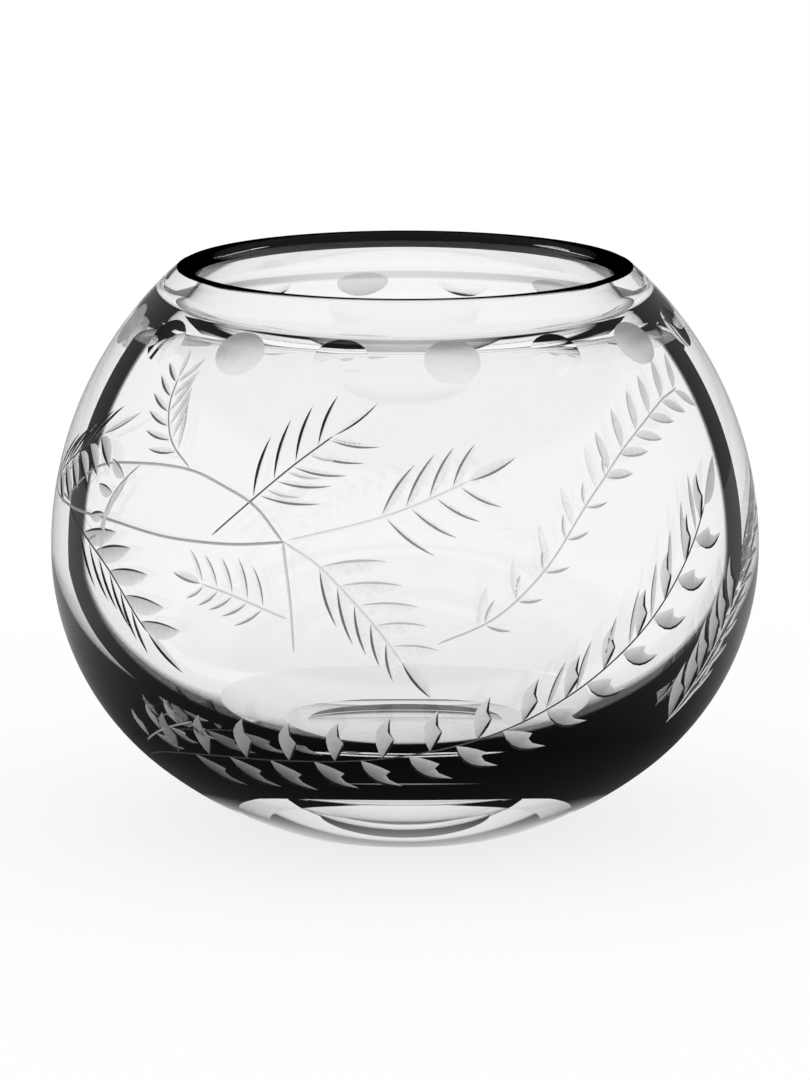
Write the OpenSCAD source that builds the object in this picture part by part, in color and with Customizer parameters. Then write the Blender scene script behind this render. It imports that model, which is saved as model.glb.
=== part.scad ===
// Rose bowl vase: one piece of clear crystal, blown as a deep ball with a
// drawn-in mouth, a thick floor, a hollow-ground foot and a ring of
// round wheel cuts (printies) on the shoulder.
// Origin at the centre of the foot's resting plane, +Z up, millimetres.

/* [Bowl] */
// Widest outside diameter
bowl_d = 180; // [150:1:220]
// Height from the resting plane to the top of the lip
bowl_h = 143; // [125:1:165]
// Height of the widest point above the resting plane
belly_z = 70.5; // [62:0.5:80]
// Thickness of the wall around the belly and the shoulder
wall_t = 4.3; // [3.5:0.1:6]

/* [Mouth] */
// Diameter of the circle along the top of the rounded lip
mouth_d = 112; // [90:1:120]
// Radius of the rounded lip
lip_r = 2.5; // [2:0.1:3]
// Depth of the mouth's straight inner side, below the lip
throat_l = 7.3; // [6:0.1:9]
// Lean of the mouth's inner side, which widens downwards
throat_lean = 27; // [15:1:35]
// Length of the thickened neck, down the wall from the lip
neck_l = 15; // [12:0.5:20]
// Radius of the turn under the mouth's inner side
throat_r = 8; // [4:0.5:9]

/* [Base] */
// Diameter of the flat foot
foot_d = 70; // [56:1:84]
// How much wider than the bowl the curve is that rises from the foot, in radius
base_gain = 12; // [10:1:35]
// Thickness of glass between the cavity's floor and the resting plane
floor_t = 15.5; // [9:0.5:20]
// Radius of the cavity's dished floor
floor_r = 180; // [150:5:260]
// Width of the flat ring that the bowl stands on
foot_ring_w = 7; // [4:0.5:12]
// Depth of the hollow ground into the foot
hollow_depth = 3.5; // [1:0.1:5]

/* [Printies] */
// Number of round cuts in the ring
printy_count = 16; // [8:1:18]
// Distance of the ring of cuts from the lip, down the shoulder
printy_drop = 17.6; // [12:0.1:26]
// Width of a cut, around the bowl
printy_w = 14; // [10:0.1:16]
// Height of a cut, up the shoulder
printy_l = 12.2; // [9:0.1:14]
// Depth of a cut at its centre
printy_depth = 0.9; // [0.5:0.05:1.4]
// Turn of the ring, so that a cut lies this far from the front
printy_turn = 9.5; // [0:0.5:22]

/* [Hidden] */
$fn = 96;

bowl_r = bowl_d / 2;

// Extra radius on an arc that runs into another, so that the two cross.
overlap = 0.004;

// Shoulder: the outside is one arc, upright at the belly, that runs into
// the rounded lip.
lip_at = [mouth_d / 2, bowl_h - lip_r];
drawn_in = bowl_r - lip_at.x;
shoulder_r = (pow(drawn_in, 2) + pow(lip_at.y - belly_z, 2) - pow(lip_r, 2)) / (2 * (drawn_in - lip_r));
shoulder_at = [bowl_r - shoulder_r, belly_z];
inner_shoulder_r = shoulder_r - wall_t;

// Neck: from the lip the mouth's inner side runs down and outwards to a
// turn, and from there a straight slope runs into the wall.
throat_dir = [sin(throat_lean), -cos(throat_lean)];
throat_top = lip_at + lip_r * [-cos(throat_lean), -sin(throat_lean)];
throat_low = throat_top + throat_l * throat_dir;
lip_angle = atan2(lip_at.y - shoulder_at.y, lip_at.x - shoulder_at.x);
neck_angle = lip_angle - neck_l / inner_shoulder_r * 180 / PI;
neck_end = shoulder_at + inner_shoulder_r * [cos(neck_angle), sin(neck_angle)];
slope_dir = (neck_end - throat_low) / norm(neck_end - throat_low);
turn = acos(throat_dir * slope_dir);
turn_reach = throat_r * tan(turn / 2);
turn_from = throat_low - turn_reach * throat_dir;
turn_to = throat_low + turn_reach * slope_dir;
turn_at = turn_from + throat_r * [cos(throat_lean), sin(throat_lean)];

// Outside below the belly: a side arc, then the base arc down to the foot.
base_r = bowl_r + base_gain;
base_at = [0, sqrt(pow(base_r, 2) - pow(foot_d / 2, 2))];
side_r = (pow(base_r, 2) - pow(bowl_r, 2) - pow(base_at.y - belly_z, 2)) / (2 * (base_r - bowl_r));
side_at = [bowl_r - side_r, belly_z];

// Cavity below the belly: a side arc, then the floor arc.
cavity_r = bowl_r - wall_t;
floor_at = [0, floor_t + floor_r];
cavity_side_r = (pow(floor_r, 2) - pow(cavity_r, 2) - pow(floor_at.y - belly_z, 2))
                / (2 * (floor_r - cavity_r));
cavity_side_at = [cavity_r - cavity_side_r, belly_z];

// Sphere that grinds the hollow in the foot.
hollow_d = foot_d - 2 * foot_ring_w;
hollow_r = (pow(hollow_d / 2, 2) + pow(hollow_depth, 2)) / (2 * hollow_depth);

// Where the ring of cuts lies on the shoulder.
printy_angle = lip_angle - printy_drop / shoulder_r * 180 / PI;
printy_at = shoulder_at + shoulder_r * [cos(printy_angle), sin(printy_angle)];
around_r = printy_at.x / cos(printy_angle);

// Height where two arcs that touch inside one another meet.
function join_z(outer_at, outer_r, inner_at) =
    outer_at.y + outer_r * (inner_at.y - outer_at.y) / norm(inner_at - outer_at);

// Radius of the tool that cuts to a depth and width in a face of radius r.
function tool_r(r, width, depth) = 1 / (8 * depth / pow(width, 2) - 1 / r);

// Half section inside three arcs that run into one another: a low arc, a
// side arc and the shoulder arc.
module three_arcs(low_at, low_r, part_at, part_r, top_r) {
    z1 = join_z(low_at, low_r, part_at);
    intersection() {
        square([2 * bowl_r, bowl_h]);
        translate(low_at) circle(low_r);
        translate(shoulder_at) circle(top_r);
        union() {
            translate(part_at) circle(part_r + overlap);
            square([2 * bowl_r, z1]);
            square([part_at.x, bowl_h]);
            translate([0, belly_z]) square([2 * bowl_r, bowl_h]);
        }
    }
}

// Half section of the outside, up to well above the lip.
module outside_section() {
    three_arcs(base_at, base_r, side_at, side_r, shoulder_r);
}

// Half section of the space inside the wall, up to the neck's slope.
module cavity_section() {
    beyond = throat_low + 2 * (neck_end - throat_low);
    intersection() {
        three_arcs(floor_at, floor_r, cavity_side_at, cavity_side_r, inner_shoulder_r);
        polygon([[0, 0], [2 * bowl_r, 0], [2 * bowl_r, beyond.y], beyond, throat_low, [0, throat_low.y]]);
    }
}

// Half section of the open mouth and all that lies above the lip.
module mouth_section() {
    outwards = shoulder_at + 2 * (lip_at - shoulder_at);
    polygon([[0, throat_low.y - lip_r], throat_low, throat_top, lip_at, outwards, [0, 2 * outwards.y]]);
}

// What rounding the turn takes off its tip.
module turn_waste() {
    difference() {
        polygon([turn_from, throat_low, turn_to]);
        translate(turn_at) circle(throat_r + overlap);
    }
}

// Half section of the glass.
module wall_section() {
    difference() {
        outside_section();
        cavity_section();
        mouth_section();
        turn_waste();
    }
    translate(lip_at) circle(lip_r + overlap);
}

// Round-edged wheel that grinds one printy; its rim touches the origin
// from +X and its axle runs along Z.
module printy_wheel() {
    wheel_r = tool_r(around_r, printy_w, printy_depth);
    edge_r = tool_r(shoulder_r, printy_l, printy_depth);
    translate([wheel_r, 0, 0]) rotate_extrude()
        intersection() {
            translate([wheel_r - edge_r, 0]) circle(edge_r);
            translate([0, -edge_r]) square([wheel_r, 2 * edge_r]);
        }
}

// The ring of cuts on the shoulder.
module printies() {
    for (i = [0 : printy_count - 1])
        rotate(printy_turn - 90 + i * 360 / printy_count)
            translate([printy_at.x, 0, printy_at.y])
                rotate([0, -printy_angle, 0])
                    translate([-printy_depth, 0, 0]) printy_wheel();
}

// Hollow in the foot.
module foot_hollow() {
    translate([0, 0, hollow_depth - hollow_r]) sphere(hollow_r);
}

module bowl() {
    color([0.93, 0.95, 0.96, 0.4])
    difference() {
        rotate_extrude() wall_section();
        printies();
        foot_hollow();
    }
}

bowl();
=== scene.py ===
# Rose bowl vase in clear cut crystal: the engraved outside, the wall, the
# thick floor and the ring of round cuts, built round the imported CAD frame.
import math
import random

import bpy
import numpy as np
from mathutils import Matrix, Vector
from mathutils.geometry import delaunay_2d_cdt


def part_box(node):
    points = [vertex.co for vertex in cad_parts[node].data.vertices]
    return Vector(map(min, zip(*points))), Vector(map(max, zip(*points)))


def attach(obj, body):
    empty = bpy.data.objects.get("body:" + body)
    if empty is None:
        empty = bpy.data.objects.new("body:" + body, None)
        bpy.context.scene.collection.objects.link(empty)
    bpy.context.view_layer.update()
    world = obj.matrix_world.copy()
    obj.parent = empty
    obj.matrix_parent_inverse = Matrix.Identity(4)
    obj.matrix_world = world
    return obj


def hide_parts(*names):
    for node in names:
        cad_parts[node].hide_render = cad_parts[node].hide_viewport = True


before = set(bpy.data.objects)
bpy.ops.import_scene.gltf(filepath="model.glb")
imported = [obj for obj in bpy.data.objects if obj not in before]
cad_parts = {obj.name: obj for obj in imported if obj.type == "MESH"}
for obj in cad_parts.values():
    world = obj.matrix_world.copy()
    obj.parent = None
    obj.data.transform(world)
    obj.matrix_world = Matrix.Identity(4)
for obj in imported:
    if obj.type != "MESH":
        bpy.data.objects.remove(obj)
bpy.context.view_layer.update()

# Lengths below are in millimetres, angles in degrees
MM = 0.001

# Sizes of the blank, as in the CAD solid
low_corner, high_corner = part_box("bowl")
BOWL_R = (high_corner.x - low_corner.x) / 2 / MM
BOWL_H = high_corner.z / MM
BELLY_Z = 70.5
WALL_T = 4.3
MOUTH_D = 112
LIP_R = 2.5
THROAT_L = 7.3
THROAT_LEAN = 27
THROAT_R = 8
NECK_L = 15
FOOT_D = 70
FOOT_RING_W = 7
BASE_R = 102
FLOOR_T = 15.5
FLOOR_R = 180
HOLLOW_DEPTH = 3.5

# Round cuts on the shoulder
PRINTY_COUNT = 16
PRINTY_DROP = 17.6
PRINTY_W = 14
PRINTY_L = 12.2
PRINTY_DEPTH = 0.9
PRINTY_TURN = 9.5

# Steps of the mesh: round the bowl, up the plain grid, along most arcs and along the outside
COLUMNS = 288
ROW_STEP = 3.0
ARC_STEP = 3.0
FINE_STEP = 0.5
ARC_POINTS_LEAST = 6
LINE_POINTS = 4

# How far the corner where the neck's slope meets the wall is rounded
NECK_EASE = 1.2

# Grid points this near to a cut are left out
CLEARANCE = 0.45

# Height of the rim, the band of the outside next to the lip
RIM_W = 4.2

# Places of the materials on the mesh
OUTSIDE, RIM, LIP, INSIDE, WALL, CUT, MATT = range(7)


def rad(angle):
    return math.radians(angle)


# Profile of the glass: rows of radius, height and the outward normal

def arc_rows(centre, radius, start, end, inwards=False, step=ARC_STEP):
    """Points on an arc from one angle to another, with normals away from the glass."""
    count = max(ARC_POINTS_LEAST, int(abs(rad(end - start)) * radius / step) + 2)
    angles = np.radians(np.linspace(start, end, count))
    direction = np.column_stack((np.cos(angles), np.sin(angles)))
    sign = -1 if inwards else 1
    return np.column_stack((np.array(centre) + radius * direction, sign * direction))


def line_rows(start, end, normal):
    """Points on a straight stretch."""
    share = np.linspace(0, 1, LINE_POINTS)[:, None]
    points = np.array(start) * (1 - share) + np.array(end) * share
    return np.column_stack((points, np.tile(normal, (LINE_POINTS, 1))))


def angle_of(vector):
    return math.degrees(math.atan2(vector[1], vector[0]))


def join_rows(*stretches):
    """Stretches end to end; where two meet, one row with the mean normal stays."""
    rows = stretches[0]
    for stretch in stretches[1:]:
        mean = rows[-1, 2:] + stretch[0, 2:]
        rows = rows.copy()
        rows[-1, 2:] = mean / np.linalg.norm(mean)
        rows = np.vstack((rows, stretch[1:]))
    return rows


def side_arc(low_r, low_y, belly_r):
    """Radius of the arc that joins a low arc on the axis to the belly."""
    return (low_r**2 - belly_r**2 - (low_y - BELLY_Z) ** 2) / (2 * (low_r - belly_r))


def glass_profile():
    """Rows of the outside up to the lip, of the inside down to the floor, of the hollow and of the
    foot ring, and the heights where the lip, the neck and the wall end.
    """
    foot_r = FOOT_D / 2
    lip_at = np.array([MOUTH_D / 2, BOWL_H - LIP_R])
    drawn_in = BOWL_R - lip_at[0]
    shoulder_r = (drawn_in**2 + (lip_at[1] - BELLY_Z) ** 2 - LIP_R**2) / (2 * (drawn_in - LIP_R))
    shoulder_at = np.array([BOWL_R - shoulder_r, BELLY_Z])
    lip_angle = angle_of(lip_at - shoulder_at)
    base_y = math.sqrt(BASE_R**2 - foot_r**2)
    side_r = side_arc(BASE_R, base_y, BOWL_R)
    side_at = np.array([BOWL_R - side_r, BELLY_Z])
    base_join = angle_of(side_at - np.array([0, base_y]))
    outside = join_rows(
        arc_rows((0, base_y), BASE_R, angle_of((foot_r, -base_y)), base_join, step=FINE_STEP),
        arc_rows(side_at, side_r, base_join, 0, step=FINE_STEP),
        arc_rows(shoulder_at, shoulder_r, 0, lip_angle, step=FINE_STEP),
    )

    lean = rad(THROAT_LEAN)
    throat_dir = np.array([math.sin(lean), -math.cos(lean)])
    away = np.array([-math.cos(lean), -math.sin(lean)])
    throat_top = lip_at + LIP_R * away
    throat_low = throat_top + THROAT_L * throat_dir
    inner_r = shoulder_r - WALL_T
    neck_angle = lip_angle - math.degrees(NECK_L / inner_r)
    neck_end = shoulder_at + inner_r * np.array([math.cos(rad(neck_angle)), math.sin(rad(neck_angle))])
    slope = (neck_end - throat_low) / np.linalg.norm(neck_end - throat_low)
    slope_away = np.array([slope[1], -slope[0]])
    reach = THROAT_R * math.tan(math.acos(throat_dir @ slope) / 2)
    turn_from = throat_low - reach * throat_dir
    turn_to = throat_low + reach * slope
    turn_at = turn_from - THROAT_R * away
    eased = neck_angle - math.degrees(NECK_EASE / inner_r)

    cavity_r = BOWL_R - WALL_T
    floor_y = FLOOR_T + FLOOR_R
    cavity_side_r = side_arc(FLOOR_R, floor_y, cavity_r)
    cavity_at = np.array([cavity_r - cavity_side_r, BELLY_Z])
    cavity_join = angle_of(cavity_at - np.array([0, floor_y]))
    inside = join_rows(
        arc_rows(lip_at, LIP_R, lip_angle, 180 + THROAT_LEAN),
        line_rows(throat_top, turn_from, away),
        arc_rows(turn_at, THROAT_R, angle_of(away) % 360, angle_of(slope_away) % 360),
        line_rows(turn_to, neck_end - NECK_EASE * slope, slope_away),
        arc_rows(shoulder_at, inner_r, eased, 0, inwards=True),
        arc_rows(cavity_at, cavity_side_r, 0, cavity_join, inwards=True),
        arc_rows((0, floor_y), FLOOR_R, cavity_join, -90, inwards=True),
    )

    hollow_edge = foot_r - FOOT_RING_W
    hollow_r = (hollow_edge**2 + HOLLOW_DEPTH**2) / (2 * HOLLOW_DEPTH)
    hollow_y = HOLLOW_DEPTH - hollow_r
    hollow = arc_rows((0, hollow_y), hollow_r, 90, angle_of((hollow_edge, -hollow_y)), inwards=True)
    ring = line_rows((hollow_edge, 0), (foot_r, 0), (0, -1))
    floor_edge_z = floor_y + FLOOR_R * math.sin(rad(cavity_join))
    heights = (throat_top[1], neck_end[1], floor_edge_z)
    return outside, inside, hollow, ring, heights


outside_rows, inside_rows, hollow_rows, ring_rows, end_heights = glass_profile()
LIP_END_Z, NECK_END_Z, WALL_END_Z = end_heights

# The outside as a map: across it runs the azimuth, up it the length along the profile
outside_v = np.concatenate(([0], np.cumsum(np.linalg.norm(np.diff(outside_rows[:, :2], axis=0), axis=1))))
V_TOP = outside_v[-1]


def outside_at(v):
    """Radius, height and normal of the outside at a length up its profile."""
    found = np.column_stack([np.interp(v, outside_v, outside_rows[:, k]) for k in range(4)])
    found[:, 2:] /= np.linalg.norm(found[:, 2:], axis=1)[:, None]
    return found


def v_of(z):
    return np.interp(z, outside_rows[:, 1], outside_v)


def radius_at(v):
    return np.interp(v, outside_v, outside_rows[:, 0])


def on_map(azimuth, z):
    """Map place of a point given by its azimuth and height."""
    return np.array([rad(azimuth) * BOWL_R, float(v_of(z))])


def step_on_map(start, right, up):
    """Map places that lie so many millimetres right of and above a map place."""
    v = np.clip(start[1] + np.asarray(up, float), 0, V_TOP)
    return np.column_stack((start[0] + np.asarray(right, float) * BOWL_R / radius_at(v), v))


# Cuts. Each is a patch: map places, how deep each lies, triangles, and a
# shade at each corner of a triangle, from 0 for dark to 1 for light: the cut's matt grey with
# painted shade, darkest on steep sides and in keels

patches = []


def add_patch(places, depths, triangles, shades, lines):
    patches.append(
        {"places": places, "depths": depths, "triangles": triangles, "shades": shades, "lines": lines}
    )


def rails_cut(place, rails, depths, shades):
    """A cut between rails, each a row of points in millimetres right of and above a place.

    depths holds one row per rail, and shades a pair of rows per strip between two rails.
    """
    count = len(rails[0])
    places = np.vstack([step_on_map(place, rail[:, 0], rail[:, 1]) for rail in rails])
    triangles, corner_shades, lines = [], [], []
    for k, (near, far) in enumerate(shades):
        a, b = k * count, (k + 1) * count
        for i in range(count - 1):
            triangles += [(a + i, a + i + 1, b + i + 1), (a + i, b + i + 1, b + i)]
            corner_shades += [(near[i], near[i + 1], far[i + 1]), (near[i], far[i + 1], far[i])]
    for k in range(len(rails)):
        lines.append(list(range(k * count, (k + 1) * count)))
    add_patch(places, np.concatenate(depths), np.array(triangles), np.array(corner_shades), lines)


def turned(points, angle):
    """Points along and across a direction, as points right and up."""
    c, s = math.cos(rad(angle)), math.sin(rad(angle))
    along, across = points[:, 0], points[:, 1]
    return np.column_stack((along * c - across * s, along * s + across * c))


# A fern leaf: points along it, its bow and the inset of its ends as shares of its length, the
# width of its steep side, its depth, and how full and how far back its two sides swell
LEAF_POINTS = 8
LEAF_BOW = 0.035
LEAF_INSET = 0.02
LEAF_STEEP_W = 0.62
LEAF_DEPTH = 0.30
STEEP_FULLNESS = 0.75
BODY_FULLNESS = 0.8
BODY_SHIFT = 0.85


def fern_leaf(place, angle, length, side, stroke, facet, width):
    """One V cut: a steep narrow side painted dark as shade, which reads as a stroke, and a wide shallow one,
    matt grey and painted darker towards the keel as shade.
    """
    s = np.linspace(0, 1, LEAF_POINTS)
    swell = np.sin(np.pi * s) ** STEEP_FULLNESS
    bow = LEAF_BOW * length * side * np.sin(np.pi * s)
    keel = np.column_stack((length * s, bow))
    steep = np.column_stack((length * s, bow + side * LEAF_STEEP_W * swell))
    body = np.sin(np.pi * s**BODY_SHIFT) ** BODY_FULLNESS
    inset = length * (LEAF_INSET + (1 - 2 * LEAF_INSET) * s)
    shallow = np.column_stack((inset, bow - side * width * body))
    shallow[0], shallow[-1] = keel[0], keel[-1]
    flat = np.zeros_like(s)
    one = np.ones_like(s)
    # Painted shade: the steep side takes the stroke's dark tone, and the shallow side is darker at the keel
    # than at its edge
    rails_cut(
        place,
        [turned(steep, angle), turned(keel, angle), turned(shallow, angle)],
        [flat, LEAF_DEPTH * swell, flat],
        [(stroke * one, stroke * one), (facet[0] * one, facet[1] * one)],
    )


# A stem: points of its curve between two placed ones, steps and depth of its groove, how narrow
# its ends and its taper get, how much lighter its lower side is painted, as painted light on that
# side of the groove, and how far to each side its direction is taken
CURVE_POINTS = 24
STEM_STEP = 1.6
STEM_DEPTH = 0.16
STEM_END = 0.3
TAPER_LEAST = 0.06
LOWER_SIDE_PAINTED_LIGHT = 0.12
ANGLE_REACH = 1.0


class Stem:
    """A smooth curve on the map through given points of azimuth and height."""

    def __init__(self, points):
        knots = np.array([on_map(*point) for point in points])
        padded = np.vstack((2 * knots[0] - knots[1], knots, 2 * knots[-1] - knots[-2]))
        fine = [knots[:1]]
        for k in range(1, len(padded) - 2):
            p0, p1, p2, p3 = padded[k - 1 : k + 3]
            t = np.linspace(0, 1, CURVE_POINTS)[1:, None]
            fine.append(
                0.5
                * (
                    2 * p1
                    + (p2 - p0) * t
                    + (2 * p0 - 5 * p1 + 4 * p2 - p3) * t**2
                    + (3 * p1 - p0 - 3 * p2 + p3) * t**3
                )
            )
        fine = np.vstack(fine)
        steps = np.diff(fine, axis=0)
        steps[:, 0] *= radius_at(fine[1:, 1]) / BOWL_R
        self.fine = fine
        self.run = np.concatenate(([0], np.cumsum(np.linalg.norm(steps, axis=1))))
        self.length = self.run[-1]

    def at(self, run):
        """Map place so many millimetres along the stem."""
        return np.array([np.interp(run, self.run, self.fine[:, k]) for k in range(2)])

    def angle(self, run):
        """Direction of the stem there, from the right, anticlockwise."""
        a = self.at(max(run - ANGLE_REACH, 0))
        b = self.at(min(run + ANGLE_REACH, self.length))
        right = (b[0] - a[0]) * radius_at((a[1] + b[1]) / 2) / BOWL_R
        return math.degrees(math.atan2(b[1] - a[1], right))

    def cut(self, shade, half_width, taper=0.0):
        """The stem's own groove, from one end to the other, in a tone of painted shade, painted lighter on
        its lower side.
        """
        count = max(3, int(self.length / STEM_STEP) + 1)
        runs = np.linspace(0, self.length, count)
        share = runs / self.length
        half = half_width * np.minimum(1, np.sqrt(np.maximum(TAPER_LEAST, 1 - taper * share)))
        half[[0, -1]] *= STEM_END
        places = []
        for offset in (1, 0, -1):
            for run, w in zip(runs, half):
                here = self.at(run)
                a = rad(self.angle(run) + 90)
                places.append(step_on_map(here, [offset * w * math.cos(a)], [offset * w * math.sin(a)])[0])
        places = np.array(places)
        depths = np.zeros(len(places))
        depths[count : 2 * count] = STEM_DEPTH * half / half_width
        triangles, shades = [], []
        for k, tone in enumerate((shade, min(1.0, shade + LOWER_SIDE_PAINTED_LIGHT))):
            a, b = k * count, (k + 1) * count
            for i in range(count - 1):
                triangles += [(a + i, a + i + 1, b + i + 1), (a + i, b + i + 1, b + i)]
                shades += [(tone, tone, tone), (tone, tone, tone)]
        lines = [list(range(k * count, (k + 1) * count)) for k in range(3)]
        add_patch(places, depths, np.array(triangles), np.array(shades), lines)


hand = random.Random(7)


def wobble(size):
    """Small unevenness of work held to the wheel by hand."""
    return hand.uniform(-size, size)


# Where a leaf starts beside its stem, and how uneven leaves are in direction and size
LEAF_START = 0.5
LEAF_SWING = 2.0
LEAF_UNEVEN = 0.05
GARLAND_SWING = 3.0
GARLAND_UNEVEN = 0.04


def leaf_row(stem, side, first, last, count, lean, length, stroke, facet, width):
    """Leaves along one side of a stem.

    side is 1 for the left and -1 for the right, first and last are shares of the stem's length, and
    lean and length are those of the first and the last leaf. stroke is the painted shade of a leaf's
    steep side, and facet holds the tones of its shallow one, at the keel and at the edge: the cut's
    matt grey, painted darker towards the keel as shade.
    """
    for k in range(count):
        share = k / max(1, count - 1)
        run = stem.length * (first + (last - first) * share)
        size = length[0] + (length[1] - length[0]) * share
        angle = stem.angle(run) + side * (lean[0] + (lean[1] - lean[0]) * share) + wobble(LEAF_SWING)
        a = rad(angle)
        base = step_on_map(stem.at(run), [LEAF_START * math.cos(a)], [LEAF_START * math.sin(a)])[0]
        fern_leaf(base, angle, size * (1 + wobble(LEAF_UNEVEN)), side, stroke, facet, width)


def tip_leaf(stem, length, side, stroke, facet, width):
    """The last leaf, in line with the stem."""
    fern_leaf(stem.at(stem.length), stem.angle(stem.length), length, side, stroke, facet, width)


# Garland leaves: the three lines of a leaf, in millimetres along and left of its own axis, how
# much of the keel's painted shade its body takes along its length, and the directions of the two
# kinds of leaf
UPPER_STEEP = [(0, 0), (2.0, -1.1), (4.2, -1.9), (6.2, -2.3), (8.2, -1.2), (10.4, -0.9), (12.6, -0.8)]
UPPER_KEEL = [(0, 0), (2.0, -0.6), (4.2, -1.3), (6.2, -2.1), (8.2, -0.6), (10.4, -0.5), (12.6, -0.8)]
UPPER_HIGH = [(0, 0), (2.2, 1.0), (4.2, 1.7), (6.4, 2.1), (8.4, 2.0), (10.4, 1.1), (12.6, -0.8)]
UPPER_KEEL_SHADE = [1.0, 0.55, 0.35, 0.25, 0.1, 0.0, 0.0]
UPPER_DIRECTION = 84
LOWER_STEEP = [(0, 0), (2.6, -2.2), (5.2, -3.2), (7.6, -3.3), (9.6, -2.7), (11.4, -1.5), (13.2, 0.4)]
LOWER_KEEL = [(0, 0), (2.6, -1.8), (5.2, -2.7), (7.6, -2.8), (9.6, -2.2), (11.4, -1.1), (13.2, 0.4)]
LOWER_HIGH = [(0, 0), (2.6, 1.2), (5.2, 2.0), (7.4, 2.4), (7.6, 0.6), (9.4, -0.1), (13.2, 0.4)]
LOWER_LEAN = -52
KEEL_DEPTH = [0.1, 0.7, 1.0, 1.0, 0.9, 0.6, 0.0]
GARLAND_DEPTH = 0.30

# How far a lower leaf starts past the upper one, in spacings, and how soon a faded start ends
HOOK_SHIFT = 0.55
FADE_RATE = 2.5


def garland_leaf(place, angle, rails, size, body, keel_shade_share, stroke):
    """A leaf of the garland: a line of painted shade along its keel, and a body beside it painted darker
    towards the keel as shade.
    """
    rails = [turned(np.array(rail) * size, angle) for rail in rails]
    flat = np.zeros(len(KEEL_DEPTH))
    light = np.full(len(KEEL_DEPTH), body[0])
    # Painted shade: the body darkens towards the keel, as far as the keel's share of shade says
    shaded = body[1] + (body[0] - body[1]) * (1 - np.array(keel_shade_share))
    line = np.full(len(KEEL_DEPTH), stroke)
    rails_cut(
        place,
        rails,
        [flat, GARLAND_DEPTH * np.array(KEEL_DEPTH), flat],
        [(line, line), (shaded, light)],
    )


def garland(stem, spacing, sizes, tones, stroke, first, direction=UPPER_DIRECTION, fade=0.0, hooks=True):
    """Leaves on both sides of a stem: upright ones above it, and hooked ones below it if wanted.

    sizes are those of the first and the last leaf, as shares of a full one. tones are a leaf body's
    tone at its edge and its painted shade at its keel, and fade is how much darker they are at the
    start.
    """
    count = int((stem.length - first) / spacing)
    for k in range(count + 1):
        run = first + k * spacing
        size = (sizes[0] + (sizes[1] - sizes[0]) * k / max(1, count)) * (1 + wobble(GARLAND_UNEVEN))
        body = np.array(tones) - fade * max(0.0, 1 - FADE_RATE * k / max(1, count))
        rails = (UPPER_STEEP, UPPER_KEEL, UPPER_HIGH)
        angle = direction + wobble(GARLAND_SWING)
        garland_leaf(stem.at(run), angle, rails, size, body, UPPER_KEEL_SHADE, stroke)
        run += HOOK_SHIFT * spacing
        if hooks and run < stem.length:
            angle = stem.angle(run) + LOWER_LEAN + wobble(GARLAND_SWING)
            rails = (LOWER_STEEP, LOWER_KEEL, LOWER_HIGH)
            # Painted shade: a lower leaf's body is darker where its keel is deeper
            garland_leaf(stem.at(run), angle, rails, size, body, KEEL_DEPTH, stroke)


# Where the sprays lie: azimuth from the front and height. The tones given to their cuts are the
# matt grey of the cut with painted shade

def left_sprays():
    """The loop of stems on the left and the fronds that leave it."""
    loop_over = Stem(
        [(-72, 89), (-62, 98.5), (-49.5, 102), (-38.5, 102.5), (-30.5, 99.5), (-24.5, 95.5), (-19.5, 88)]
    )
    loop_over.cut(0.60, 0.36)
    loop_under = Stem(
        [(-92, 95), (-84, 88), (-70, 86.5), (-55, 87), (-42, 86), (-34, 86), (-27, 86.5), (-19, 88)]
    )
    loop_under.cut(0.55, 0.36)
    down = Stem([(-19.5, 88), (-18, 74), (-17.5, 61)])
    down.cut(0.72, 0.45, taper=0.6)

    frond = Stem([(-71, 86.5), (-55, 75.5), (-45, 61.5)])
    frond.cut(0.10, 0.26)
    leaf_row(frond, 1, 0.26, 0.93, 5, (32, 44), (17, 13.5), 0.10, (0.74, 0.92), 4.0)
    leaf_row(frond, -1, 0.22, 0.84, 6, (30, 24), (17, 12.5), 0.03, (0.92, 0.95), 0.7)
    tip_leaf(frond, 14, -1, 0.04, (0.84, 0.92), 2.0)

    frond = Stem([(-86, 88.5), (-74, 98), (-64, 106)])
    frond.cut(0.2, 0.25)
    leaf_row(frond, 1, 0.10, 0.85, 7, (18, 20), (19, 15), 0.04, (0.92, 0.96), 0.6)
    leaf_row(frond, -1, 0.20, 0.97, 6, (58, 66), (12, 11), 0.08, (0.66, 0.90), 3.6)
    tip_leaf(frond, 16, -1, 0.04, (0.90, 0.95), 0.9)

    small = Stem([(-50, 101.5), (-54, 96), (-56.5, 90), (-57.5, 81.5)])
    small.cut(0.6, 0.25)
    leaf_row(small, -1, 0.25, 0.95, 4, (72, 60), (8.5, 6.5), 0.16, (0.78, 0.90), 2.4)
    leaf_row(small, 1, 0.15, 0.70, 4, (14, 10), (14, 10), 0.70, (0.86, 0.90), 1.4)

    frond = Stem([(-38.5, 103), (-44, 108.5), (-47.3, 116), (-48, 122.5)])
    frond.cut(0.62, 0.26)
    leaf_row(frond, 1, 0.22, 0.94, 6, (38, 46), (10.0, 7.5), 0.34, (0.90, 0.95), 1.2)
    leaf_row(frond, -1, 0.22, 0.94, 6, (46, 40), (13, 9), 0.62, (0.90, 0.95), 0.9)
    tip_leaf(frond, 8, -1, 0.5, (0.90, 0.94), 1.0)


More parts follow.
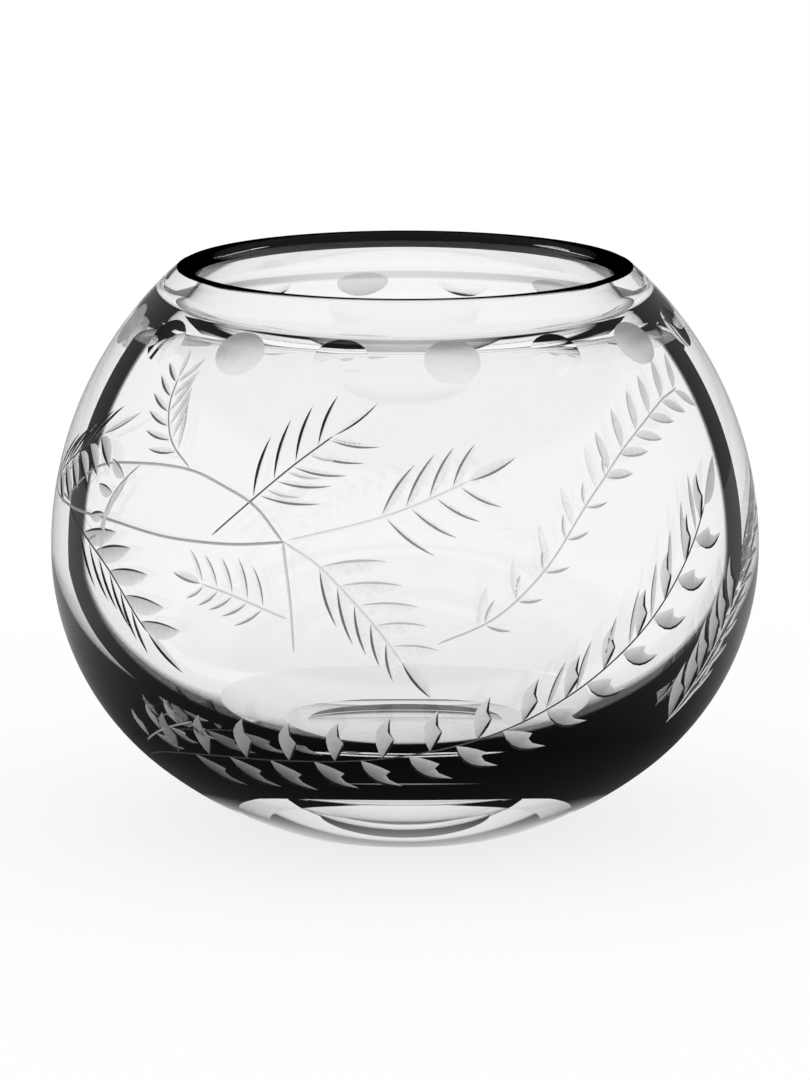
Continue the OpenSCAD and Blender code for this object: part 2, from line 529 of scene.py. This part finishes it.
def middle_sprays():
    """The three fronds and the small one that leave the end of the loop."""
    frond = Stem([(-32, 88), (-20, 104.5), (-12.5, 113)])
    frond.cut(0.22, 0.22)
    leaf_row(frond, 1, 0.36, 0.88, 4, (40, 37), (15.5, 13.5), 0.05, (0.95, 0.97), 0.5)
    leaf_row(frond, -1, 0.40, 0.96, 5, (47, 47), (15.5, 13), 0.42, (0.94, 0.97), 0.9)
    leaf_row(frond, -1, 0.46, 0.98, 4, (50, 48), (9, 8), 0.74, (0.95, 0.97), 0.6)
    tip_leaf(frond, 13.5, -1, 0.10, (0.94, 0.97), 0.8)

    frond = Stem([(-18.5, 88.5), (-3, 95), (7.5, 101), (10.5, 102.8)])
    frond.cut(0.84, 0.3)
    leaf_row(frond, 1, 0.50, 0.90, 4, (40, 38), (15.5, 12.5), 0.42, (0.92, 0.96), 1.7)
    leaf_row(frond, -1, 0.52, 0.94, 4, (54, 50), (15, 12), 0.48, (0.95, 0.97), 0.7)
    tip_leaf(frond, 13.5, -1, 0.42, (0.90, 0.95), 2.2)

    frond = Stem([(-19.4, 88), (-13, 82), (-5.5, 70), (-0.5, 59.5)])
    frond.cut(0.80, 0.36)
    leaf_row(frond, 1, 0.26, 0.88, 5, (46, 50), (17, 12), 0.70, (0.95, 0.98), 3.0)
    leaf_row(frond, -1, 0.26, 0.84, 5, (34, 26), (15.5, 10.5), 0.34, (0.94, 0.97), 2.0)
    tip_leaf(frond, 12, -1, 0.22, (0.84, 0.92), 2.8)

    frond = Stem([(-18.5, 69.5), (-27.5, 74), (-33.5, 76)])
    frond.cut(0.80, 0.34)
    leaf_row(frond, -1, 0.26, 0.97, 5, (56, 50), (10.6, 8.5), 0.46, (0.95, 0.97), 0.8)
    leaf_row(frond, 1, 0.26, 0.95, 5, (48, 46), (9.0, 6.6), 0.58, (0.95, 0.97), 0.6)
    tip_leaf(frond, 9, 1, 0.50, (0.88, 0.94), 1.8)


def right_sprays():
    """The light sprig and the garland that runs round the base and up the right side."""
    sprig = Stem([(5, 64), (14, 70), (22, 80.5), (29, 93), (33.5, 99.5), (41, 108), (52, 115.5), (60, 118)])
    sprig.cut(0.70, 0.26)
    leaf_row(sprig, 1, 0.12, 0.60, 6, (38, 38), (6.0, 6.0), 0.66, (0.93, 0.95), 0.5)
    leaf_row(sprig, -1, 0.12, 0.60, 6, (40, 40), (6.5, 6.5), 0.66, (0.93, 0.95), 0.5)
    leaf_row(sprig, 1, 0.10, 0.56, 5, (52, 52), (10, 10), 0.90, (0.94, 0.96), 1.6)
    leaf_row(sprig, 1, 0.62, 0.98, 6, (54, 50), (10, 11), 0.62, (0.84, 0.91), 2.0)
    leaf_row(sprig, -1, 0.60, 0.98, 6, (40, 46), (9.0, 9.5), 0.62, (0.82, 0.90), 2.0)

    body = (0.86, 0.58)
    main = Stem(
        [(-72, 19.5), (-62, 24), (-51, 27.5), (-36, 30), (-23, 31), (-5, 33), (12, 38), (26, 47), (39, 61)]
        + [(49, 76), (57, 90)]
    )
    main.cut(0.12, 0.24)
    garland(main, 11.9, (1.08, 0.92), body, 0.06, first=33.0, fade=0.3)
    leaf_row(main, 1, 0.66, 0.96, 8, (44, 36), (13, 15), 0.14, (0.80, 0.90), 1.0)
    tip_leaf(main, 15, 1, 0.4, (0.74, 0.84), 3.2)

    side = Stem([(54, 35), (57, 43), (60, 50.5), (63.5, 58), (67.5, 65), (72.5, 72), (79, 80), (87, 87)])
    side.cut(0.9, 0.3)
    leaf_row(side, -1, 0.0, 0.9, 8, (14, 22), (22, 16), 0.97, (0.08, 0.35), 2.4)
    leaf_row(side, -1, 0.08, 0.98, 9, (34, 40), (13, 12), 0.92, (0.30, 0.70), 2.2)
    leaf_row(side, 1, 0.55, 0.98, 5, (0, 8), (15, 13), 0.03, (0.66, 0.86), 1.4)
    flags = Stem([(54, 35), (57, 43), (60, 50.5), (63.5, 58), (65.5, 61.5)])
    garland(flags, 6.4, (1.45, 1.15), (0.80, 0.30), 0.03, first=1.0, direction=101, hooks=False)

    twig = Stem([(-57, 29.5), (-48, 35), (-39.5, 39)])
    twig.cut(0.6, 0.24)
    garland(twig, 9.0, (0.75, 0.6), (0.66, 0.4), 0.06, first=3.0, direction=104)


left_sprays()
middle_sprays()
right_sprays()


# Round cuts, shallow dishes on the shoulder; every other one is left matt

def printy_places():
    """Map place of each round cut, and whether it is matt."""
    turns = [(PRINTY_TURN + k * 360 / PRINTY_COUNT + 180) % 360 - 180 for k in range(PRINTY_COUNT)]
    up = V_TOP - PRINTY_DROP
    return [(np.array([rad(turn) * BOWL_R, up]), k % 2 == 0) for k, turn in enumerate(turns)]


def printy_offset(points, place):
    """Places relative to a round cut, as shares of its half width and half height."""
    right = (points[:, 0] - place[0]) * radius_at(points[:, 1]) / BOWL_R
    return np.column_stack((right / (PRINTY_W / 2), (points[:, 1] - place[1]) / (PRINTY_L / 2)))


def printy_ring(place, share, count):
    angles = np.linspace(0, 2 * np.pi, count, endpoint=False)
    right = share * PRINTY_W / 2 * np.cos(angles)
    up = share * PRINTY_L / 2 * np.sin(angles)
    return step_on_map(place, right, up)


# Rings of points in a round cut: share of its size and number of points
PRINTY_RINGS = ((1.0, 40), (0.84, 32), (0.66, 24), (0.45, 18), (0.22, 10))

# Grid points nearer than this to a round cut's middle are left out, as a share of its size
PRINTY_MARGIN = 1.08


# The outside mesh: a plain grid with the cuts let into it

# Least area of a triangle and least length of its normal, and slack in places on the map, in
# shares of a triangle, in depth and in height
LEAST_AREA = 1e-7
LEAST_LENGTH = 1e-12
PLACE_SLACK = 1e-4
EDGE_SLACK = 1e-6
SHARE_SLACK = 1e-3
DEPTH_SLACK = 1e-9
HEIGHT_SLACK = 0.01


def triangle_weights(points, corners):
    """Weights of a triangle's three corners at each point."""
    a, b, c = corners
    area = (b[0] - a[0]) * (c[1] - a[1]) - (c[0] - a[0]) * (b[1] - a[1])
    if abs(area) < LEAST_AREA:
        return None
    wb = ((points[:, 0] - a[0]) * (c[1] - a[1]) - (c[0] - a[0]) * (points[:, 1] - a[1])) / area
    wc = ((b[0] - a[0]) * (points[:, 1] - a[1]) - (points[:, 0] - a[0]) * (b[1] - a[1])) / area
    return np.column_stack((1 - wb - wc, wb, wc))


def deepest_cut(points):
    """For each point, how deep the cuts go there and which patch triangle cuts deepest."""
    order = np.argsort(points[:, 0])
    across = points[order, 0]
    depth = np.zeros(len(points))
    owner = np.full((len(points), 2), -1)
    for p, patch in enumerate(patches):
        for t, triangle in enumerate(patch["triangles"]):
            corners = patch["places"][triangle]
            reach = [corners[:, 0].min() - PLACE_SLACK, corners[:, 0].max() + PLACE_SLACK]
            first, last = np.searchsorted(across, reach)
            found = order[first:last]
            if len(found) == 0:
                continue
            weights = triangle_weights(points[found], corners)
            if weights is None:
                continue
            cut = weights @ patch["depths"][triangle]
            better = (weights.min(axis=1) > -SHARE_SLACK) & (cut > depth[found] + DEPTH_SLACK)
            depth[found[better]] = cut[better]
            owner[found[better]] = (p, t)
    return depth, owner


def near_cut(points):
    """Which grid points lie in a cut, or so close to one that they would make slivers."""
    lines = [patch["places"][line] for patch in patches for line in patch["lines"]]
    places = np.vstack(lines)
    order = np.argsort(places[:, 0])
    sorted_places = places[order]
    inside = deepest_cut(points)[0] > 0
    for k, point in enumerate(points):
        first, last = np.searchsorted(sorted_places[:, 0], [point[0] - CLEARANCE, point[0] + CLEARANCE])
        if last > first and np.abs(sorted_places[first:last, 1] - point[1]).min() < CLEARANCE:
            inside[k] = True
    return inside


def outside_map():
    """Triangles of the outside on the map, with their cuts."""
    azimuths = np.linspace(-np.pi, np.pi, COLUMNS + 1) * BOWL_R
    rows = np.append(np.linspace(0, V_TOP - RIM_W, int(V_TOP / ROW_STEP) + 2), V_TOP)
    grid = np.array([(u, v) for v in rows for u in azimuths])
    on_edge = (np.abs(grid[:, 0]) > azimuths[-1] - EDGE_SLACK) | (grid[:, 1] <= 0) | (grid[:, 1] >= V_TOP)
    drop = near_cut(grid)
    for place, _ in printy_places():
        drop |= np.linalg.norm(printy_offset(grid, place), axis=1) < PRINTY_MARGIN
    kept = grid[on_edge | ~drop]
    points = [kept]
    start = len(kept)
    rim_row = np.flatnonzero(kept[:, 1] == V_TOP - RIM_W)
    edges = list(zip(rim_row[:-1], rim_row[1:]))
    for patch in patches:
        points.append(patch["places"])
        for line in patch["lines"]:
            edges += [(start + a, start + b) for a, b in zip(line[:-1], line[1:])]
        start += len(patch["places"])
    for place, _ in printy_places():
        for share, count in PRINTY_RINGS:
            points.append(printy_ring(place, share, count))
            if share == 1.0:
                edges += [(start + i, start + (i + 1) % count) for i in range(count)]
            start += count
        points.append(place[None])
        start += 1
    points = np.vstack(points)
    vectors = [Vector(point) for point in points]
    out_points, _, out_faces, origins, _, _ = delaunay_2d_cdt(vectors, edges, [], 0, PLACE_SLACK, True)
    exact = np.array([points[o[0]] if o else tuple(p) for p, o in zip(out_points, origins)])
    return exact, np.array([tuple(f) for f in out_faces])


def on_surface(places, depths):
    """Points in space for map places sunk into the glass."""
    rows = outside_at(places[:, 1])
    across = rows[:, 0] - depths * rows[:, 2]
    turn = places[:, 0] / BOWL_R
    return np.column_stack((across * np.sin(turn), -across * np.cos(turn), rows[:, 1] - depths * rows[:, 3]))


def directions(turns, across, up):
    """Directions in space from parts away from the axis and parts up."""
    return np.column_stack((across * np.sin(turns), -across * np.cos(turns), up))


def outside_triangles():
    """Corners, corner normals, corner shades and material of each outside triangle."""
    places, faces = outside_map()
    depths, _ = deepest_cut(places)
    centres = places[faces].mean(axis=1)
    centre_depth, owner = deepest_cut(centres)
    material = np.where(centres[:, 1] > V_TOP - RIM_W, RIM, OUTSIDE)
    material[centre_depth > 0] = CUT
    turns = places[:, 0] / BOWL_R
    rows = outside_at(places[:, 1])
    smooth = directions(turns, rows[:, 2], rows[:, 3])
    sideways = np.column_stack((np.cos(turns), np.sin(turns), np.zeros(len(turns))))
    upwards = directions(turns, -rows[:, 3], rows[:, 2])
    normals = smooth[faces]
    for place, matt in printy_places():
        offset = printy_offset(places, place)
        dish = PRINTY_DEPTH * (1 - (offset**2).sum(axis=1))
        depths = np.maximum(depths, dish)
        slope_right = 2 * PRINTY_DEPTH * offset[:, :1] / (PRINTY_W / 2)
        slope_up = 2 * PRINTY_DEPTH * offset[:, 1:] / (PRINTY_L / 2)
        dished = smooth - slope_right * sideways - slope_up * upwards
        dished /= np.linalg.norm(dished, axis=1)[:, None]
        centre_dish = PRINTY_DEPTH * (1 - (printy_offset(centres, place) ** 2).sum(axis=1))
        inside = centre_dish > np.maximum(centre_depth, 0)
        normals[inside] = dished[faces[inside]]
        material[inside] = MATT if matt else OUTSIDE
    # Tones of the cuts at each corner: their matt grey with painted shade
    shades = np.ones(faces.shape)
    for k in np.flatnonzero(material == CUT):
        p, t = owner[k]
        triangle = patches[p]["triangles"][t]
        weights = triangle_weights(places[faces[k]], patches[p]["places"][triangle])
        tones = patches[p]["shades"][t]
        shades[k] = np.clip(weights @ tones, tones.min(), tones.max())
    points = on_surface(places, depths)
    corners = points[faces]
    flat = np.cross(corners[:, 1] - corners[:, 0], corners[:, 2] - corners[:, 0])
    flat /= np.maximum(np.linalg.norm(flat, axis=1), LEAST_LENGTH)[:, None]
    normals[material == CUT] = flat[material == CUT][:, None]
    return corners, normals, shades, material


def turned_triangles(rows, material):
    """The same for a surface of revolution through rows of a profile."""
    turns = np.tile(np.linspace(-np.pi, np.pi, COLUMNS + 1), len(rows))
    across, up, normal_across, normal_up = np.repeat(rows, COLUMNS + 1, axis=0).T
    points = directions(turns, across, up)
    normals = directions(turns, normal_across, normal_up)
    low = (np.arange(len(rows) - 1)[:, None] * (COLUMNS + 1) + np.arange(COLUMNS)).ravel()
    high = low + COLUMNS + 1
    faces = np.vstack((np.column_stack((low, low + 1, high + 1)), np.column_stack((low, high + 1, high))))
    return points[faces], normals[faces], np.ones(faces.shape), np.full(len(faces), material)


def first_row_below(rows, height):
    return int(np.flatnonzero(rows[:, 1] <= height + HEIGHT_SLACK)[0])


# Corners in the same cell of a grid this fine are one vertex; the shift keeps exact heights off
# the edges of the cells
MERGE_STEP = 0.001
MERGE_SHIFT = 0.00037


def glass_mesh():
    """One closed mesh of the whole bowl, in metres."""
    lip_end = first_row_below(inside_rows, LIP_END_Z)
    neck_end = first_row_below(inside_rows, NECK_END_Z)
    wall_end = first_row_below(inside_rows, WALL_END_Z)
    parts = [
        outside_triangles(),
        turned_triangles(inside_rows[: lip_end + 1], LIP),
        turned_triangles(inside_rows[lip_end : neck_end + 1], INSIDE),
        turned_triangles(inside_rows[neck_end : wall_end + 1], WALL),
        turned_triangles(inside_rows[wall_end:], INSIDE),
        turned_triangles(hollow_rows, OUTSIDE),
        turned_triangles(ring_rows, OUTSIDE),
    ]
    corners, normals, shades, materials = (np.concatenate(column) for column in zip(*parts))
    flat_corners = corners.reshape(-1, 3)
    keys = np.floor((flat_corners + MERGE_SHIFT) / MERGE_STEP).astype(np.int64)
    _, first, back = np.unique(keys, axis=0, return_index=True, return_inverse=True)
    faces = back.reshape(-1, 3)
    whole = (faces[:, 0] != faces[:, 1]) & (faces[:, 1] != faces[:, 2]) & (faces[:, 0] != faces[:, 2])
    faces = faces[whole]
    mesh = bpy.data.meshes.new("bowl_glass")
    mesh.from_pydata((flat_corners[first] * MM).tolist(), [], faces.tolist())
    mesh.polygons.foreach_set("material_index", materials[whole].astype(np.int32))
    mesh.polygons.foreach_set("use_smooth", np.ones(len(faces), dtype=bool))
    # The cuts' tones, painted shade in part, as a corner colour named shade
    tone = mesh.color_attributes.new(name="shade", type="FLOAT_COLOR", domain="CORNER")
    colour = np.repeat(shades[whole].reshape(-1, 1), 4, axis=1)
    colour[:, 3] = 1
    tone.data.foreach_set("color", colour.ravel())
    mesh.normals_split_custom_set(normals[whole].reshape(-1, 3).tolist())
    return mesh


# Materials

def add_node(tree, kind, **settings):
    node = tree.nodes.new(kind)
    for name, value in settings.items():
        setattr(node, name, value)
    return node


def maths(tree, operation, first, second, clamp=False):
    """A Math node fed by sockets or plain numbers."""
    node = add_node(tree, "ShaderNodeMath", operation=operation, use_clamp=clamp)
    for k, value in enumerate((first, second)):
        if isinstance(value, (int, float)):
            node.inputs[k].default_value = value
        else:
            tree.links.new(value, node.inputs[k])
    return node.outputs[0]


def new_material(name):
    material = bpy.data.materials.new(name)
    material.use_nodes = True
    tree = material.node_tree
    return material, tree, tree.nodes["Principled BSDF"], tree.nodes["Material Output"]


def grey(level):
    return (level, level, level, 1)


def upright_part(tree, vector):
    """The Z part of a vector socket."""
    parts = add_node(tree, "ShaderNodeSeparateXYZ")
    tree.links.new(vector, parts.inputs[0])
    return parts.outputs["Z"]


def changing(tree, value, start, end, first, last):
    """A number that runs evenly from first to last while a socket's value runs from start to end."""
    node = add_node(tree, "ShaderNodeMapRange")
    for name, number in (("From Min", start), ("From Max", end), ("To Min", first), ("To Max", last)):
        node.inputs[name].default_value = number
    tree.links.new(value, node.inputs["Value"])
    return node.outputs[0]


def by_height(tree, low_z, high_z, low, high):
    """A number that changes from a low to a high place on the bowl."""
    place = add_node(tree, "ShaderNodeTexCoord")
    return changing(tree, upright_part(tree, place.outputs["Object"]), low_z * MM, high_z * MM, low, high)


def mix_shaders(tree, share, first, second):
    """The first shader, and the second as far as share says."""
    mix = add_node(tree, "ShaderNodeMixShader")
    for k, socket in enumerate((share, first, second)):
        tree.links.new(socket, mix.inputs[k])
    return mix.outputs[0]


# Glass of this index turns back about FACE_ON of the light that meets it square. What it turns
# back beyond that marks how slanting the light is
GLASS_IOR = 1.54
FACE_ON = 0.045
ALL_TURNED_BACK = 0.999

# Where the painted shade on the lip and the wall starts, and how fast each face is painted darker
LIP_START = 0.062
WALL_START = 0.16
WALL_START_HIGH = 0.20
OUTSIDE_PAINTED_SHADE = 1.0
LIP_PAINTED_SHADE = 18.0
INSIDE_PAINTED_SHADE = 1.2
WALL_PAINTED_SHADE = 30.0

# Heights between which the wall's start changes, and the outside's painted shade fades
WALL_LOW_Z = 35
WALL_HIGH_Z = 70
FLANK_LOW_Z = 40
FLANK_HIGH_Z = 75

# Where light is turned back in the glass, black is painted in as shade up to this ray depth: first hits on
# the rim, all on the lip
RIM_PAINTED_BLACK_DEPTH = 1.5
LIP_PAINTED_BLACK_DEPTH = 99


def clear_glass(name, start, painted_shade_rate, from_inside_only=False, painted_black_depth=None, start_high=None):
    """Polished crystal with painted shade: where rays are slanting, black is mixed in as far as the surface
    turns light away, painted in place of a dark room seen in the glass.
    """
    material, tree, glass, output = new_material(name)
    glass.inputs["Base Color"].default_value = grey(1.0)
    glass.inputs["Roughness"].default_value = 0.0
    glass.inputs["IOR"].default_value = GLASS_IOR
    glass.inputs["Transmission Weight"].default_value = 1.0
    fresnel = add_node(tree, "ShaderNodeFresnel")
    fresnel.inputs["IOR"].default_value = GLASS_IOR
    turned_back = maths(tree, "GREATER_THAN", fresnel.outputs[0], ALL_TURNED_BACK)
    part = maths(tree, "MULTIPLY", fresnel.outputs[0], maths(tree, "SUBTRACT", 1.0, turned_back))
    if start_high is not None:
        start = by_height(tree, WALL_LOW_Z, WALL_HIGH_Z, start, start_high)
    part = maths(tree, "SUBTRACT", part, start, clamp=True)
    part = maths(tree, "MULTIPLY", part, painted_shade_rate, clamp=True)
    geometry = add_node(tree, "ShaderNodeNewGeometry")
    if from_inside_only:
        part = maths(tree, "MULTIPLY", part, geometry.outputs["Backfacing"])
        part = maths(tree, "MULTIPLY", part, by_height(tree, FLANK_LOW_Z, FLANK_HIGH_Z, 1.0, 0.0))
    # Painted shade: black where light is turned back inside the glass, up to a ray depth
    if painted_black_depth is not None:
        path = add_node(tree, "ShaderNodeLightPath")
        painted_black = maths(tree, "MULTIPLY", turned_back, geometry.outputs["Backfacing"])
        painted_black = maths(tree, "MULTIPLY", painted_black, maths(tree, "LESS_THAN", path.outputs["Ray Depth"], painted_black_depth))
        part = maths(tree, "ADD", part, painted_black, clamp=True)
    # Painted shade: a black surface mixed into the glass where the rays are slanting
    dark = add_node(tree, "ShaderNodeBsdfDiffuse")
    dark.inputs["Color"].default_value = grey(0.0)
    tree.links.new(mix_shaders(tree, part, glass.outputs[0], dark.outputs[0]), output.inputs[0])
    return material


# Fine marks of the wheel: how many to the metre and how fine, and the part of the noise in use
CUT_MARKS = 900.0
CUT_MARKS_DETAIL = 2.0
MATT_MARKS = 700.0
MATT_MARKS_DETAIL = 3.0
NOISE_LOW = 0.3
NOISE_HIGH = 0.7

# Shades are written as they should look, and this power turns them into the shader's levels
SHADE_POWER = 2.2

# Upright part of the normal at a matt cut's lower and upper edge, and its tone at the lower one,
# where the dish is painted darker as shade
DISH_LOW = 0.36
DISH_HIGH = 0.82
DISH_PAINTED_SHADE = 0.78


def wheel_marks(tree, scale, detail, dark, light):
    """A level that wanders between dark and light over the surface."""
    place = add_node(tree, "ShaderNodeTexCoord")
    marks = add_node(tree, "ShaderNodeTexNoise")
    marks.inputs["Scale"].default_value = scale
    marks.inputs["Detail"].default_value = detail
    tree.links.new(place.outputs["Object"], marks.inputs["Vector"])
    return changing(tree, marks.outputs["Fac"], NOISE_LOW, NOISE_HIGH, dark, light)


def cut_glass():
    """Wheel-cut strokes and facets in the tones their corners carry, the cut's matt grey with painted shade,
    and fine wheel marks.
    """
    material, tree, glass, _ = new_material("cut_crystal")
    glass.inputs["Roughness"].default_value = 0.4
    glass.inputs["IOR"].default_value = GLASS_IOR
    glass.inputs["Transmission Weight"].default_value = 0.35
    shade = add_node(tree, "ShaderNodeAttribute", attribute_name="shade")
    level = maths(tree, "POWER", shade.outputs["Fac"], SHADE_POWER)
    marks = wheel_marks(tree, CUT_MARKS, CUT_MARKS_DETAIL, dark=0.92, light=1.05)
    tree.links.new(maths(tree, "MULTIPLY", level, marks), glass.inputs["Base Color"])
    return material


def matt_glass():
    """Round cuts left matt from the wheel, with painted shade: darker where the dish's normal is less
    upright, and painted light at full tone where seen from behind.
    """
    material, tree, glass, _ = new_material("matt_crystal")
    glass.inputs["Roughness"].default_value = 0.55
    glass.inputs["IOR"].default_value = GLASS_IOR
    glass.inputs["Transmission Weight"].default_value = 0.75
    marks = wheel_marks(tree, MATT_MARKS, MATT_MARKS_DETAIL, dark=0.94, light=1.04)
    geometry = add_node(tree, "ShaderNodeNewGeometry")
    upright = upright_part(tree, geometry.outputs["Normal"])
    # Painted shade: the dish is darker where its normal is less upright
    dish = changing(tree, upright, DISH_LOW, DISH_HIGH, DISH_PAINTED_SHADE, 1.0)
    # Painted light: a round cut seen from behind is left at full tone
    light = maths(tree, "MAXIMUM", dish, geometry.outputs["Backfacing"])
    tree.links.new(maths(tree, "MULTIPLY", marks, light), glass.inputs["Base Color"])
    return material


def outside_glass(name, painted_black_depth=None):
    return clear_glass(name, FACE_ON, OUTSIDE_PAINTED_SHADE, from_inside_only=True, painted_black_depth=painted_black_depth)


mesh = glass_mesh()
for material in (
    outside_glass("clear_crystal_outside"),
    outside_glass("clear_crystal_rim", RIM_PAINTED_BLACK_DEPTH),
    clear_glass("clear_crystal_lip", LIP_START, LIP_PAINTED_SHADE, painted_black_depth=LIP_PAINTED_BLACK_DEPTH),
    clear_glass("clear_crystal_inside", FACE_ON, INSIDE_PAINTED_SHADE),
    clear_glass("clear_crystal_wall", WALL_START, WALL_PAINTED_SHADE, start_high=WALL_START_HIGH),
    cut_glass(),
    matt_glass(),
):
    mesh.materials.append(material)
bowl = bpy.data.objects.new("bowl_glass", mesh)
bpy.context.scene.collection.objects.link(bowl)
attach(bowl, "root")
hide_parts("bowl")


# Light: a soft white world, dark overhead for what is seen through the glass

# Elevations between which the world turns dark seen through glass, and how bright it is mirrored
LIGHT_UP_TO = 30
DARK_FROM = 35
MIRRORED_WORLD = 0.22


def mirror_ray(tree, path):
    """True for a ray that left a polished face by reflection."""
    return maths(tree, "MULTIPLY", path.outputs["Is Reflection Ray"], path.outputs["Is Glossy Ray"])


def world_light():
    """The white world, at the plain strength of 1."""
    world = bpy.data.worlds.new("soft_studio")
    bpy.context.scene.world = world
    world.use_nodes = True
    tree = world.node_tree
    background = tree.nodes["Background"]
    place = add_node(tree, "ShaderNodeTexCoord")
    up = upright_part(tree, place.outputs["Generated"])
    overhead = changing(tree, up, math.sin(rad(LIGHT_UP_TO)), math.sin(rad(DARK_FROM)), 1.0, 0.0)
    path = add_node(tree, "ShaderNodeLightPath")
    through = add_node(tree, "ShaderNodeMixRGB")
    through.inputs[1].default_value = grey(1.0)
    tree.links.new(path.outputs["Is Transmission Ray"], through.inputs[0])
    tree.links.new(overhead, through.inputs[2])
    mirrored = add_node(tree, "ShaderNodeMixRGB")
    mirrored.inputs[2].default_value = grey(MIRRORED_WORLD)
    tree.links.new(mirror_ray(tree, path), mirrored.inputs[0])
    tree.links.new(through.outputs[0], mirrored.inputs[1])
    tree.links.new(mirrored.outputs[0], background.inputs["Color"])
    background.inputs["Strength"].default_value = 1.0


# Floor: its half width in metres, its gap under the foot, its colour, and its own glow, which
# together with the light on it makes it white in the open
FLOOR_HALF = 12.0
FLOOR_GAP = 0.1
FLOOR_COLOUR = 0.22
FLOOR_GLOW = 0.78

# How bright the floor is through glass and mirrored in glass, with the distances from the bowl's
# axis between which the mirrored brightness changes. Mirrored, the floor has a painted shadow,
# darker near the bowl, and painted light under the foot that fades out between the under distances
FLOOR_THROUGH = 0.95
MIRROR_START_R = 90
MIRROR_END_R = 220
MIRROR_NEAR_PAINTED_SHADOW = 0.06
MIRROR_FAR = 0.4
UNDER_START_R = 41
UNDER_END_R = 55
UNDER_FOOT_PAINTED_LIGHT = 0.9


def floor_material():
    """White in the open, with the bowl's shadow; through and in the glass a floor of its own, which mirrored
    has a painted shadow near the bowl and painted light under the foot.
    """
    material, tree, principled, output = new_material("pale_floor")
    tree.nodes.remove(principled)
    shaded = add_node(tree, "ShaderNodeBsdfDiffuse")
    shaded.inputs["Color"].default_value = grey(FLOOR_COLOUR)
    glow = add_node(tree, "ShaderNodeEmission")
    glow.inputs["Strength"].default_value = FLOOR_GLOW
    seen = add_node(tree, "ShaderNodeAddShader")
    tree.links.new(shaded.outputs[0], seen.inputs[0])
    tree.links.new(glow.outputs[0], seen.inputs[1])

    through = add_node(tree, "ShaderNodeEmission")
    through.inputs["Strength"].default_value = FLOOR_THROUGH

    place = add_node(tree, "ShaderNodeTexCoord")
    away = add_node(tree, "ShaderNodeVectorMath", operation="LENGTH")
    tree.links.new(place.outputs["Object"], away.inputs[0])
    distance = away.outputs["Value"]
    # Painted shadow: the mirrored floor is darker near the bowl
    mirrored_painted_shadow = changing(tree, distance, MIRROR_START_R * MM, MIRROR_END_R * MM, MIRROR_NEAR_PAINTED_SHADOW, MIRROR_FAR)
    # Painted light: the mirrored floor glows under the foot
    under = changing(tree, distance, UNDER_START_R * MM, UNDER_END_R * MM, UNDER_FOOT_PAINTED_LIGHT, 0.0)
    mirrored = add_node(tree, "ShaderNodeEmission")
    tree.links.new(maths(tree, "ADD", mirrored_painted_shadow, under), mirrored.inputs["Strength"])

    path = add_node(tree, "ShaderNodeLightPath")
    last = mix_shaders(tree, path.outputs["Is Transmission Ray"], seen.outputs[0], through.outputs[0])
    last = mix_shaders(tree, mirror_ray(tree, path), last, mirrored.outputs[0])
    tree.links.new(last, output.inputs[0])
    return material


def white_floor():
    """A pale floor that keeps the bowl's shadow."""
    mesh = bpy.data.meshes.new("floor")
    sides = ((-1, -1), (1, -1), (1, 1), (-1, 1))
    corners = [(x * FLOOR_HALF, y * FLOOR_HALF, -FLOOR_GAP * MM) for x, y in sides]
    mesh.from_pydata(corners, [], [(0, 1, 2, 3)])
    mesh.materials.append(floor_material())
    floor = bpy.data.objects.new("floor", mesh)
    bpy.context.scene.collection.objects.link(floor)


def place_camera():
    """The photo's view: from the front, a little above, through a long lens. Lengths are in metres."""
    elevation = rad(11.3)
    distance = 1.62
    target = Vector((0, 0, 0.0718))
    data = bpy.data.cameras.new("camera")
    camera = bpy.data.objects.new("camera", data)
    bpy.context.scene.collection.objects.link(camera)
    back = Vector((0, -math.cos(elevation), math.sin(elevation)))
    camera.location = target + back * distance
    camera.rotation_mode = "QUATERNION"
    camera.rotation_quaternion = (-back).to_track_quat("-Z", "Y")
    data.sensor_width = 36.0
    data.lens = 212.1
    data.clip_start = 0.05
    data.clip_end = 100.0
    bpy.context.scene.camera = camera


world_light()
white_floor()
place_camera()
bpy.context.scene.view_settings.view_transform = "Standard"
